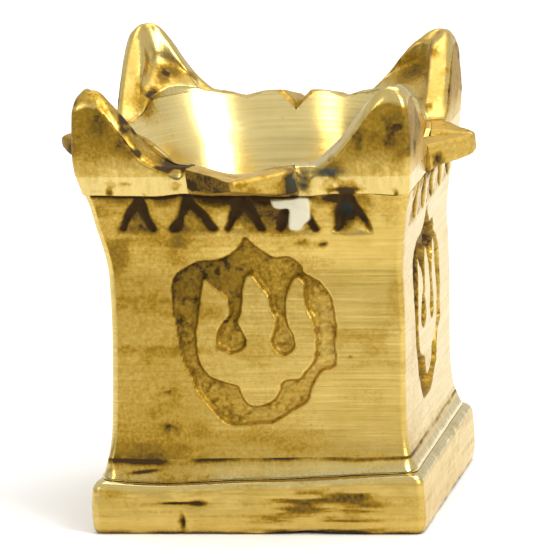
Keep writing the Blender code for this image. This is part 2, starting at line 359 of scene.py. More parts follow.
# %% [markdown]
# ## Carving with outlines
# The shield is chiselled: its ground is sunk between an outer outline and an island left
# standing, shaped like a three-petalled flower with two drop-shaped pits. Modelling the cuts by
# hand would tie them to one mesh. A signed distance to a drawn outline gives the depth
# everywhere, and gives the dirt, the painted shade and the burrs along the edges for free.

# %% Smooth closed outlines and the distance to them
def closed_curve(points, steps=5):
    """Catmull-Rom curve through the points of a closed outline."""
    p1 = np.asarray(points, dtype=float)[:, None]
    p0, p2, p3 = np.roll(p1, 1, 0), np.roll(p1, -1, 0), np.roll(p1, -2, 0)
    t = (np.arange(steps) / steps)[None, :, None]
    curve = 0.5 * (2 * p1 + (p2 - p0) * t + (2 * p0 - 5 * p1 + 4 * p2 - p3) * t ** 2
                   + (3 * p1 - p0 - 3 * p2 + p3) * t ** 3)
    return curve.reshape(-1, 2)


def inside_distance(outline, along, height):
    """Signed distance to a closed outline, positive inside.

    It is the least distance to any straight piece of the outline; a point is inside when a level
    ray from it crosses the outline an odd number of times.
    """
    start = np.asarray(outline)
    end = np.roll(start, -1, axis=0)
    spot = np.stack([along.ravel(), height.ravel()], axis=-1)[:, None]
    piece = (end - start)[None]
    share = np.clip(np.sum((spot - start) * piece, -1) / np.sum(piece ** 2, -1), 0.0, 1.0)
    gap = np.linalg.norm(spot - (start + share[..., None] * piece), axis=-1).min(axis=1)
    crosses = (start[None, :, 1] > spot[..., 1]) != (end[None, :, 1] > spot[..., 1])
    rise = np.where(piece[..., 1] == 0, 1e-9, piece[..., 1])
    meet = start[None, :, 0] + (spot[..., 1] - start[None, :, 1]) / rise * piece[..., 0]
    odd = np.sum(crosses & (spot[..., 0] < meet), axis=1) % 2 == 1
    return np.where(odd, gap, -gap).reshape(along.shape)


# Outlines in millimetres: along the face from its middle, and above the floor.
SHIELD = [(-0.8, 44.4), (-1.7, 43.2), (-3.5, 41.6), (-5.2, 40.9), (-7.6, 40.7), (-9.2, 40.2),
          (-11.8, 38.4), (-12.5, 36.0), (-12.3, 32.5), (-11.5, 28.0), (-11.2, 25.5), (-9.8, 23.0),
          (-8.9, 20.8), (-7.2, 18.8), (-5.4, 16.7), (-3.8, 16.0), (0.5, 16.1), (2.8, 16.6),
          (5.7, 18.4), (7.5, 19.5), (8.2, 22.1), (9.5, 23.9), (11.6, 25.0), (11.5, 28.0),
          (11.7, 31.0), (11.2, 34.8), (9.8, 37.3), (8.7, 38.1), (7.3, 39.0), (7.1, 39.9),
          (5.4, 41.2), (3.0, 41.3), (0.8, 42.7), (-0.2, 43.6)]
ISLAND = [(-7.8, 37.8), (-7.1, 37.7), (-6.4, 36.9), (-4.9, 35.9), (-4.2, 34.8), (-4.0, 33.3),
          (-4.4, 32.2), (-5.1, 31.5), (-6.1, 29.6), (-6.2, 28.0), (-5.0, 27.1), (-4.0, 26.7),
          (-2.7, 27.1), (-1.8, 27.9), (-1.8, 28.8), (-2.3, 30.0), (-3.0, 31.4), (-2.5, 32.6),
          (-2.2, 34.4), (-2.1, 36.0), (-1.7, 37.5), (-1.1, 38.4), (-0.3, 38.4), (0.6, 37.1),
          (1.8, 35.3), (2.1, 33.3), (2.8, 31.8), (2.4, 30.0), (2.1, 28.5), (2.5, 27.3),
          (3.8, 26.5), (5.0, 27.0), (5.5, 28.0), (5.3, 29.5), (4.7, 30.7), (4.3, 32.1),
          (4.3, 34.1), (4.8, 36.0), (5.6, 37.7), (6.2, 38.2), (6.7, 38.0), (7.3, 37.1),
          (7.2, 35.3), (7.4, 33.6), (8.1, 31.8), (8.7, 29.8), (8.6, 27.0), (8.3, 25.5),
          (7.0, 23.8), (6.2, 22.9), (4.1, 22.6), (3.5, 22.0), (3.2, 20.8), (2.3, 19.7),
          (0.8, 19.0), (-0.7, 18.8), (-1.7, 19.3), (-2.4, 20.3), (-3.0, 21.7), (-4.6, 22.3),
          (-7.1, 23.2), (-8.4, 24.6), (-9.1, 26.6), (-9.3, 29.2), (-8.8, 32.6), (-8.3, 35.6)]
GROUND_DEPTH, DEEPER_AT_SIDES = 1.05, 0.35
BURR = 0.04
FACE_PITCH = 40.0


def shield_relief(face, along, height):
    """Depth, and dirt with painted shade, of one face's sunk ground, each face cut a little
    differently.

    The depth is a smooth step of the distance inside the ground, times its depth and the chisel's
    bumps. FACE_PITCH moves each face to its own part of the noise.
    """
    place = np.stack([along, height, np.full_like(along, FACE_PITCH * face)], axis=-1)
    shift = 0.35 * face
    wander = 0.16 * rough(place, 1.6, 11)
    bend_x = along + shift * noise(place, 9.0, 21)
    bend_z = height + shift * noise(place, 9.0, 22)
    outer = inside_distance(closed_curve(SHIELD, 4), bend_x, bend_z) + wander
    island = inside_distance(closed_curve(ISLAND, 4), bend_x, bend_z) + wander
    into = np.minimum(outer, -island)
    ground = smoothstep((into + 0.12) / 0.50)
    chisel = 0.34 * rough(place, 0.8, 31) + 0.20 * noise(place, 2.0, 33)
    burr = BURR * np.exp(-((into + 0.15) / 0.22) ** 2) * (0.6 + 0.4 * noise(place, 2.5, 35))
    depth = ground * (GROUND_DEPTH + chisel + DEEPER_AT_SIDES * (face != 0)) - burr
    wall_foot_shade = ground * np.exp(-(into / 0.5) ** 2)
    patchy = smoothstep(0.5 + 0.8 * rough(place, 1.5, 41))
    speck = smoothstep((rough(place, 0.7, 43) - 0.05) / 0.4)
    high = smoothstep((height - 24.0) / 17.0)
    left = smoothstep((2.0 - along) / 10.0)
    soiled = smoothstep((into + 0.28) / 0.34)
    # Dirt in the sunk ground, plus painted shade: darker towards the top and the left and at the
    # foot of the walls, paler to the right.
    dirt = soiled * (0.30 + 0.32 * speck * patchy + 0.08 * left + 0.14 * high * (1.0 + left)
                     - 0.10 * smoothstep((along - 7.0) / 3.0) + 0.16 * (face != 0))
    dirt += 0.26 * wall_foot_shade * patchy * (0.4 + 0.6 * left)
    return depth, dirt


# %% [markdown]
# ## Shaft
# Four filed panels with the sunk shields. The piece is a tube: outside the panels, inside a bored
# seat for the cup and a wide core below it. The rows run up the outside, over the top, down the
# inside and back under the foot, so the wall is closed. A thin film of tarnish dulls the flat
# faces. It is worked out once for shaft, collar and cove, so it runs on across their joints.

# %% The thin tarnish on the flat faces
def film(place, side):
    """Dirt from patches and smears of noise, plus smooth steps to the left and low down.

    place is along the face, height and the face's own part of the noise. Where side is 1 the
    film is half as thick.
    """
    along, tall = place[..., 0], place[..., 1]
    grime = smoothstep((rough(place, 7.0, 53) - 0.15) / 0.5)
    smear = smoothstep((rough(place / np.array([2.5, 0.6, 1.0]), 3.5, 57) - 0.1) / 0.5)
    left = 0.14 * smoothstep((13.0 - along) / 8.0) + 0.17 * smoothstep((-3.0 - along) / 10.0)
    low = 0.12 * smoothstep((20.0 - tall) / 8.0)
    # On the side faces the film is halved, which paints them paler: a painted sheen.
    return (0.26 * grime + 0.16 * smear + left + low) * (1.0 - 0.5 * side)


# %% Shaft: the relief of its panels
# Casting pits on the front: place along it, height and size.
PANEL_PITS = [(4.2, 43.2, 0.9), (10.7, 43.3, 0.8), (7.4, 43.9, 1.0), (-13.4, 21.0, 0.4),
              (-13.2, 15.6, 1.2), (13.8, 26.3, 0.35)]
PIT_DEPTH, SCRATCH_DEPTH, SWELL = 0.15, 0.012, 0.10
# Polish on the side faces: smoother metal, and a paler colour that is a painted sheen.
SIDE_SHEEN = 0.45


def shaft_relief(columns, half, height):
    """Depth, dirt with painted shade, and polish with painted sheen, of all four panels: the
    shield, file scratches, casting pits.
    """
    face = np.broadcast_to(columns[2][None], (len(height), len(columns[2])))
    along = (half[:, None] - ARRIS) * columns[3][None]
    tall = np.broadcast_to(height[:, None], along.shape)
    depth, dirt = np.zeros(along.shape), np.zeros(along.shape)
    for number in range(4):
        mine = face == number
        cut, soil_and_shade = shield_relief(number, along[mine][None], tall[mine][None])
        depth[mine], dirt[mine] = cut[0], soil_and_shade[0]
    flat = columns[3][None] < 1.0
    depth, dirt = depth * flat, dirt * flat
    front = face == 0
    place = np.stack([along, tall, FACE_PITCH * face], axis=-1)
    for middle, level, size in PANEL_PITS:
        spot = front * blot(along, tall, middle, level, size, size * 0.6)
        spot *= smoothstep(0.5 + rough(place, 0.8, 56))
        depth += PIT_DEPTH * spot
        dirt += 0.8 * spot
    file_marks = noise(place / np.array([9.0, 0.45, 1.0]), 1.0, 51)
    open_panel = 1.0 - smoothstep(depth / 0.5)
    below_joint = smoothstep((SHAFT_TOP - 0.2 - tall) / 2.0)
    depth += (SCRATCH_DEPTH * file_marks + SWELL * noise(place, 14.0, 52)) * below_joint
    above_foot = 1.0 - smoothstep((tall - COVE_TOP - 0.1) / 1.0)
    dirt += open_panel * film(place, face % 2)
    dirt += 0.25 * above_foot * smoothstep(rough(place, 2.5, 55) + 0.35)
    return depth, dirt, SIDE_SHEEN * (face % 2)


# %% The cup's wall, which the other pieces leave room for
CUP_FLOOR_RADIUS, CUP_RIM_RADIUS, CUP_WALL = 19.4, 23.2, 0.7
CUP_FLOOR, CUP_TAPER_START = 38.4, 41.0
CUP_PLAY = 0.15
SHELL = CUP_WALL + 0.05
BACK_RISE, SCOOP = 2.0, 0.8


def cup_radius(height):
    """Inner radius of the cup: a cone whose wall opens a little faster towards the rim."""
    rise = np.clip((height - CUP_TAPER_START) / (RIM - CUP_TAPER_START), 0.0, 1.3)
    return CUP_FLOOR_RADIUS + (CUP_RIM_RADIUS - CUP_FLOOR_RADIUS) * (0.75 * rise + 0.25 * rise ** 2)


def rim_height(angle):
    """Top of the wall at the lips: higher at the back, with a scoop beside the back lip."""
    back = smoothstep((0.2 - np.cos(np.radians(angle))) / 1.2)
    scoop = SCOOP * np.exp(-((from_face(angle) - 18.0) / 4.0) ** 2)
    return RIM + back * (BACK_RISE - scoop)


def cup_top(angle):
    """Top of the cup's wall all round: the rim at the lips, BORE_TOP between the horns."""
    rim = rim_height(angle)
    return rim + (BORE_TOP - rim) * smoothstep((from_face(angle) - 24.0) / 12.0)


def tube_inside(columns, top, bottom, steps):
    """Rows down the inside of a square tube, leaving room for the cup."""
    height = np.linspace(top, bottom, steps)
    return round_rows(columns, cup_radius(height) + CUP_WALL + CUP_PLAY, height)


# %% Shaft: panels outside, seat and core inside
SHAFT_SEAT = 37.0
JOINT = SHAFT_TOP + 0.1


def make_shaft():
    columns = square_columns(shares_with_detail(13.2, WAIST_HALF - ARRIS, 106, 13))
    height = np.concatenate([np.linspace(COVE_TOP, 15.0, 9)[:-1],
                             np.linspace(15.0, JOINT, 122)])
    half = half_width(height)
    depth, dirt, side_sheen = shaft_relief(columns, half, height)
    outside = square_rows(columns, half, height, ARRIS, depth)
    inside = tube_inside(columns, JOINT, CUP_FLOOR - 1.0, 8)
    core = round_rows(columns, np.full(2, CORE_RADIUS), np.array([SHAFT_SEAT, COVE_TOP]))
    points = np.concatenate([outside, inside, core])
    inner = np.zeros(points.shape[:2])[len(dirt):]
    return make_piece("shaft_panels", points, dirt=np.concatenate([dirt, inner + 0.6]),
                      polish=np.concatenate([side_sheen, inner]))


shaft = make_shaft()


# %% [markdown]
# ## Plinth and cove
# The foot is a flat block with a worn, slightly dipping top edge. Above it a hollow moulding, the
# cove, leads into the shaft. Its shine is the brightest line on the front, so its curve matters.

# %% Plinth: a filed block with a worn edge
# Its profile, half width and height, is drawn for a block PROFILE_HALF wide and PROFILE_TOP high.
PROFILE_HALF, PROFILE_TOP = 24.75, 8.2
PLINTH_CORNER = 1.2


def make_plinth():
    columns = square_columns(np.linspace(-1, 1, 200), 11)
    profile = np.array([[0.0, 0.0], [20.0, 0.0], [23.6, 0.0], [24.3, 0.25], [24.6, 0.9],
                        [24.75, 2.6], [24.7, 4.6], [24.6, 6.4], [24.55, 6.95], [24.4, 7.35],
                        [24.0, 7.85], [23.5, 8.1], [20.0, 8.15], [0.0, 8.15]])
    steps = np.array([0, 1, 3, 5, 9, 17, 27, 37, 42, 46, 50, 54, 57, 58])
    fine = np.arange(steps[-1] + 1)
    half = np.interp(fine, steps, profile[:, 0]) * FOOT_HALF / PROFILE_HALF
    height = np.interp(fine, steps, profile[:, 1]) * PLINTH_TOP / PROFILE_TOP
    corner = np.minimum(PLINTH_CORNER, 0.5 * half)
    points = np.concatenate([square_rows(columns, half[n:n + 1], height[n:n + 1], corner[n])
                             for n in fine])
    face = np.broadcast_to(columns[2][None], points.shape[:2])
    along = np.where(face % 2 == 0, points[..., 0], points[..., 1])
    outward = points[..., :2] / np.linalg.norm(points[..., :2], axis=-1, keepdims=True).clip(1.0)
    edge = np.exp(-((points[..., 2] - 7.4) / 0.7) ** 2)
    dents = 0.14 * rough(points, 2.2, 62) + 0.12 * edge * smoothstep(rough(points, 3.5, 63) + 0.3)
    bottom = 1.0 - smoothstep(points[..., 2] / 1.4)
    front = face == 0
    chip = front * bottom * blot(along, 0.0, 7.5, 0.0, 3.2, 1.0)
    nick = front * blot(along, points[..., 2], -11.4, 1.9, 0.45, 1.2)
    hit = front * blot(along, points[..., 2], -9.0, 4.9, 1.5, 0.6)
    hit += front * blot(along, points[..., 2], -12.5, 5.0, 2.2, 0.25)
    side = smoothstep((half[:, None] - 20.0) / 3.0)
    points[..., :2] -= outward * (side * (dents + 0.55 * nick + 0.35 * hit))[..., None]
    points[..., 2] += 0.45 * chip
    place = points / np.array([2.0, 2.0, 0.2])
    streak = smoothstep((rough(place, 3.6, 64) + 0.25) / 0.7)
    right_side = smoothstep((along + 5.0) / 10.0) * smoothstep((21.0 - along) / 5.0)
    low_line = np.exp(-((points[..., 2] - 0.2) / 0.35) ** 2)
    dirt = streak * (0.20 + 0.46 * front * right_side * smoothstep((7.2 - points[..., 2]) / 1.5))
    dirt += 0.12 * smoothstep(rough(points, 7.0, 66) + 0.3) + 0.9 * nick + 1.0 * hit
    dirt += 0.7 * low_line * smoothstep(rough(points, 3.0, 65) + 0.8)
    dirt += front * 0.35 * blot(along, points[..., 2], -21.5, 6.6, 2.2, 0.8)
    # Polish on the rubbed top edge is wear; the 0.3 on the side faces paints them paler, a painted
    # sheen.
    worn = smoothstep((points[..., 2] - 7.1) / 0.4) + 0.3 * (face % 2)
    return make_piece("plinth_block", points, loop_rows=False, dirt=dirt, polish=worn)


# %% Cove: the hollow moulding over the plinth
CRUD_LINE = 10.9
COVE_UNDERCUT = 0.38


def make_cove():
    columns = square_columns(np.linspace(-1, 1, 160), 7)
    height = np.linspace(PLINTH_TOP - 0.1, COVE_TOP, 30)
    half = half_width(height)
    corner = ARRIS + 1.5 * smoothstep((COVE_TOP - height) / 3.0)
    half = half - 0.1 * smoothstep((COVE_TOP - height) / 2.0)
    half = half - COVE_UNDERCUT * np.exp(-(height - PLINTH_TOP) / 0.45)
    outside = square_rows(columns, half, height, corner[:, None, None])
    face = np.broadcast_to(columns[2][None], outside.shape[:2])
    along = np.where(face % 2 == 0, outside[..., 0], outside[..., 1])
    outward = outside[..., :2] / np.linalg.norm(outside[..., :2], axis=-1, keepdims=True)
    outside[..., :2] -= outward * (0.08 * rough(outside, 3.0, 71))[..., None]
    inside = round_rows(columns, np.full(2, CORE_RADIUS), np.array([COVE_TOP, PLINTH_TOP - 0.1]))
    points = np.concatenate([outside, inside])
    tall = outside[..., 2]
    line = CRUD_LINE + 0.35 * noise(outside / np.array([1.0, 1.0, 1e6]), 5.0, 72)
    crud = np.exp(-((tall - line) / 0.45) ** 2) * smoothstep(rough(outside, 4.0, 73) + 0.55)
    slant = 9.6 + 0.12 * (along + 17.0)
    crack = (face == 0) * blot(along, tall - slant, -17.0, 0.0, 1.9, 0.2)
    place = np.stack([along, tall, FACE_PITCH * face], axis=-1)
    dirt = 0.8 * crud + 1.0 * crack + 0.8 * film(place, face % 2)
    # Polish all over is rub wear; the extra polish at the foot also paints a highlight along the
    # crease over the plinth.
    worn = 0.35 + 0.6 * smoothstep((PLINTH_TOP + 1.9 - tall) / 1.4)
    inner = np.zeros(inside.shape[:2])
    return make_piece("cove_moulding", points, dirt=np.concatenate([dirt, inner + 0.6]),
                      polish=np.concatenate([worn, inner]))


plinth = make_plinth()
cove = make_cove()

# %% [markdown]
# ## Frieze collar
# Chiselled strokes in pairs make pointed notches; the tongues left between them have a scooped
# top. A lump of old white wax fills the fourth notch on the front, and the fifth is a deep hole.

# %% Frieze: strokes, scoops, the wax and the hole
# Each notch: its apex, then its left and right foot, along the face in millimetres.
NOTCHES = [(-16.2, -19.0, -14.2), (-8.7, -11.2, -5.4), (-0.8, -3.2, 1.8), (6.7, 4.8, 9.9),
           (15.2, 12.9, 17.9)]
WAX = [(3.7, 50.3), (5.6, 50.4), (7.4, 50.7), (9.2, 50.6), (9.2, 48.6), (9.1, 47.2), (8.2, 46.4),
       (7.6, 45.6), (6.8, 45.4), (5.9, 45.8), (6.0, 47.2), (6.1, 48.7), (4.9, 48.9), (4.0, 49.2)]
STROKE_TOP, STROKE_FOOT, STROKE_WIDTH = 50.6, 45.6, 2.0
HALO_FOOT, HALO_WIDTH = 45.3, 3.8


def stroke(along, height, start, end, width):
    """Soft V groove along a straight line: 1 at its middle, 0 half a width away."""
    start, end = np.array(start), np.array(end)
    line = end - start
    share = ((along - start[0]) * line[0] + (height - start[1]) * line[1]) / np.dot(line, line)
    share = np.clip(share, 0.0, 1.0)
    gap = np.hypot(along - start[0] - share * line[0], height - start[1] - share * line[1])
    return smoothstep(1.0 - gap / (width / 2))


def frieze_relief(face, along, height):
    """Depth and dirt of the frieze on one face, with a painted shadow under the crown.

    The depth adds V grooves along the strokes, a sunk ground between each pair, a bowl of
    1 - x^2 - z^2 in each tongue's top, and a ledge under the crown.
    """
    place = np.stack([along, height, np.full_like(along, FACE_PITCH * face)], axis=-1)
    wander = 0.40 * noise(place, 2.4, 81)
    turned = -1.0 if face in (1, 2) else 1.0
    spread = along * turned + wander + 0.4 * (face > 0) * noise(place, 12.0, 82)
    tall = height + 0.2 * noise(place, 1.5, 83)
    cuts, halo, inner = (np.zeros_like(along) for _ in range(3))
    for apex, left, right in NOTCHES:
        top = (apex, STROKE_TOP)
        for foot in (left, right):
            cut = stroke(spread, tall, top, (foot, STROKE_FOOT), STROKE_WIDTH)
            stain = stroke(spread, tall, top, (foot, HALO_FOOT), HALO_WIDTH)
            cuts, halo = np.maximum(cuts, cut), np.maximum(halo, stain)
        share = np.clip((50.4 - tall) / 6.0, 0.0, 1.0)
        within = np.minimum(spread - apex - (left - apex) * share,
                            apex + (right - apex) * share - spread)
        inner = np.maximum(inner, smoothstep(within / 0.7))
    ends = [-23.2] + [notch[0] for notch in NOTCHES] + [21.5]
    scoops = np.zeros_like(along)
    for low, high in zip(ends[:-1], ends[1:]):
        middle, wide = (low + high) / 2, (high - low) / 2 - 1.2
        bowl = 1.0 - ((spread - middle) / wide) ** 2 - ((50.9 - tall) / 1.9).clip(0.0) ** 2
        scoops = np.maximum(scoops, smoothstep(bowl / 0.8))
    worn = 1.0 - smoothstep((spread - 17.6) / 2.4)
    ledge = np.exp(-((50.95 - height) / 0.40) ** 2) * (1.0 - smoothstep((spread - 8.0) / 4.0))
    depth = worn * (0.75 * cuts + 0.32 * inner + 0.45 * scoops) + 0.30 * ledge
    depth += 0.18 * rough(place, 1.1, 84) * (0.3 + inner + cuts)
    smooth_end = smoothstep((spread - 9.0) / 3.0) * smoothstep((height - 48.0) / 2.5)
    depth -= 0.28 * smooth_end
    depth *= smoothstep((height - SHAFT_TOP - 0.1) / 1.4)
    patchy = smoothstep(0.5 + 0.7 * rough(place, 2.4, 85))
    soot = blot(spread, tall, -1.0, 50.6, 6.5, 1.5)
    dirt = worn * (1.05 * cuts * (0.55 + 0.45 * patchy) + 0.36 * inner * patchy)
    # The ledge under the crown is painted dark: a painted shadow of the crown's overhang.
    dirt += worn * 0.25 * scoops * patchy + 1.0 * ledge * (0.3 + 0.7 * patchy) + 0.8 * soot
    dirt += 0.14 * smoothstep(rough(place, 4.0, 86) + 0.35) + 0.20 * halo * (0.4 + 0.6 * patchy)
    dirt = dirt * smoothstep((height - SHAFT_TOP - 0.1) / 1.3) + film(place, face % 2)
    return depth, dirt


# %% Collar: the frieze round all four faces
COLLAR_SINK = 0.30


def make_collar():
    flat = WAIST_HALF + 2.0
    columns = square_columns(shares_with_detail(20.5, flat, 236, 6), 5)
    height = np.linspace(JOINT, COLLAR_TOP - SEAM, 56)
    half = half_width(height) - COLLAR_SINK * smoothstep((height - SHAFT_TOP) / 6.0)
    face = np.broadcast_to(columns[2][None], (len(height), len(columns[2])))
    along = (half[:, None] - ARRIS) * columns[3][None]
    tall = np.broadcast_to(height[:, None], along.shape)
    depth, dirt = np.zeros(along.shape), np.zeros(along.shape)
    for number in range(4):
        mine = face == number
        cut, soil_and_shade = frieze_relief(number, along[mine], tall[mine])
        depth[mine], dirt[mine] = cut, soil_and_shade
    depth *= columns[3][None] < 1.0
    front = face == 0
    hole = front * blot(along, tall, 14.4, 48.3, 1.5, 1.7)
    groove = front * blot(along, tall, 13.5, 50.4, 2.4, 0.6)
    depth += 1.3 * hole + 0.3 * groove
    dirt += 1.2 * hole + 0.8 * groove
    gone = front * smoothstep(inside_distance(closed_curve(WAX, 3), along, tall) / 0.45 + 0.5)
    lump = 0.16 + 0.12 * noise(np.stack([along, tall, tall], -1), 1.6, 87)
    depth = depth * (1.0 - gone) - gone * lump
    # A painted shadow round the wax lump.
    wax_shadow = front * blot(along, tall, 3.8, 47.4, 4.0, 3.2)
    dirt = np.where(gone > 0.5, 0.0, dirt + 0.42 * wax_shadow)
    green = front * blot(along, tall, 14.5, 48.6, 0.7, 0.8)
    side_sheen = np.broadcast_to(SIDE_SHEEN * (columns[2] % 2)[None], dirt.shape)
    outside = square_rows(columns, half, height, ARRIS, depth)
    inside = tube_inside(columns, COLLAR_TOP - SEAM, JOINT, 6)
    points = np.concatenate([outside, inside])
    rest = np.zeros(inside.shape[:2])
    return make_piece("frieze_ring", points, dirt=np.concatenate([dirt, rest + 0.5]),
                      wax=np.concatenate([gone, rest]), green=np.concatenate([green, rest]),
                      polish=np.concatenate([side_sheen, rest]))


collar = make_collar()

# %% [markdown]
# ## Cup
# The cup is the only turned part, so it is the only one that is really round. It is a polished
# cone with fine rings, and four pouring grooves are cut through its rim, one at each lip. The
# wall runs on upwards between the horns, so the bore has no step there.

# %% Pouring grooves
# Groove depth at the cup, its width and its place across the lip, for the lips at the front,
# right, back and left.
GROOVES = [(1.3, 15.0, -0.9), (1.5, 4.8, 0.0), (2.8, 5.6, 0.0), (1.5, 4.8, 0.0)]


def groove_depth(number, radius, angle, reach):
    """Depth of a groove that narrows towards the lip's tip, at a radius and angle.

    The narrow ones are V-shaped. The wide one at the front is worn to a shallow bowl.
    """
    deep, wide, shift = GROOVES[number]
    across = np.abs(radius * np.sin(np.radians(angle)) - shift)
    fade = np.clip((reach - radius) / (reach - CUP_RIM_RADIUS), 0.02, 1.0)
    share = np.clip(1.0 - across / (wide / 2 * fade), 0.0, 1.0)
    return deep * fade * (smoothstep(share) if wide > 10.0 else share)


# %% Cup: floor, fillet, wall and rim, turned round the axis
FILLET_OUT, FILLET_UP = 2.4, CUP_TAPER_START - CUP_FLOOR
CUP_COLUMNS, FLOOR_ROWS = 320, 16
RING_HEIGHT, RING_PITCH = 0.003, 5.1
# Middle of a dark patch on the back left of the bore.
BORE_DARK_PATCH = (-21.2, 11.8, 57.0)


def make_cup():
    angle = np.arange(CUP_COLUMNS) * 360.0 / CUP_COLUMNS
    inside = np.linspace(CUP_TAPER_START, BORE_TOP, 50)
    outside = inside[::-3]
    flat = CUP_FLOOR_RADIUS - FILLET_OUT
    floor = np.linspace(0.0, flat, FLOOR_ROWS)
    bend = np.linspace(0.0, 1.0, 9)[1:-1]
    radius = np.concatenate([floor, flat + FILLET_OUT * np.sin(bend * math.pi / 2),
                             cup_radius(inside), cup_radius(outside) + CUP_WALL,
                             [CUP_FLOOR_RADIUS + CUP_WALL, 0.0]])
    rise = FILLET_UP * (1 - np.cos(bend * math.pi / 2))
    height = np.concatenate([np.full(FLOOR_ROWS, CUP_FLOOR), CUP_FLOOR + rise, inside, outside,
                             [CUP_FLOOR - CUP_WALL, CUP_FLOOR - CUP_WALL]])
    cut = np.zeros_like(angle)
    for number in range(4):
        away = (angle - 90.0 * number + 180.0) % 360.0 - 180.0
        near = np.where(np.abs(away) < 30.0, away, 90.0)
        cut = np.maximum(cut, groove_depth(number, CUP_RIM_RADIUS, near, LIP_REACH))
    top = cup_top(angle)[None] - cut[None]
    tall = np.minimum(height[:, None], top)
    first = FLOOR_ROWS + len(bend)
    last = first + len(inside)
    wide = np.broadcast_to(radius[:, None], tall.shape).copy()
    wide[first:last] = cup_radius(tall[first:last])
    wide[last:-2] = cup_radius(tall[last:-2]) + CUP_WALL
    ripple = RING_HEIGHT * np.sin(height * RING_PITCH) * (np.arange(len(height)) < last)
    points = wrap(wide + ripple[:, None], tall, angle[None])
    spots = smoothstep((rough(points, 2.2, 92) - 0.30) / 0.25)
    lower = smoothstep((52.0 - tall) / 8.0)
    patchy = 0.5 + 0.5 * smoothstep(rough(points, 3.0, 93))
    rim_dirt = smoothstep((tall - top + 0.3) / 0.3) * patchy
    dirt = 0.25 * lower * smoothstep(rough(points, 6.0, 91) + 0.2) + 0.5 * rim_dirt
    dark_patch = np.exp(-np.sum(((points - np.array(BORE_DARK_PATCH)) / 2.4) ** 2, axis=-1))
    dirt += 0.12 * spots + 0.6 * dark_patch
    return make_piece("turned_cup", points, loop_rows=False, dirt=dirt)


cup = make_cup()

# %% [markdown]
# ## Horns
# Each horn is an L-shaped wall round a corner. Its top climbs to a blunt tip along two different
# slopes, fuller on the sides than on the front and back, and is bevelled outwards. Its section
# is the same list of corners at every station round the wall, with heights that change.

# %% Horn: stations round the corner, a rounded section at each
# For each horn: angle of its corner, where its slopes begin before and after it, the height of
# its tip, how far the tip stands in from the faces, and how much its inner edge is rounded off.
HORNS = {"front_right": (45.0, 8.6, 7.4, 67.4, 1.5, 0.3),
         "back_right": (135.0, 8.2, 9.0, 67.0, 1.3, 0.1),
         "back_left": (225.0, 9.6, 8.0, 68.3, 2.2, 1.0),
         "front_left": (315.0, 7.8, 9.8, 67.0, 2.1, 0.4)}
# The slopes climb as a power of the share of the way to SLOPE_END; their feet differ in height.
FRONT_POWER, SIDE_POWER = 1.2, 0.95
FRONT_FOOT, SIDE_FOOT, SLOPE_END = 54.4, 55.2, 24.0
HORN_EDGE, HORN_STATIONS = 18.15, 190
HORN_INSIDE, HORN_INSIDE_CORNER = 21.9, 3.0
SQUINCH_SLOPE = 0.67
CREST_WIDTH, SMALL_STEP = 0.9, 0.15


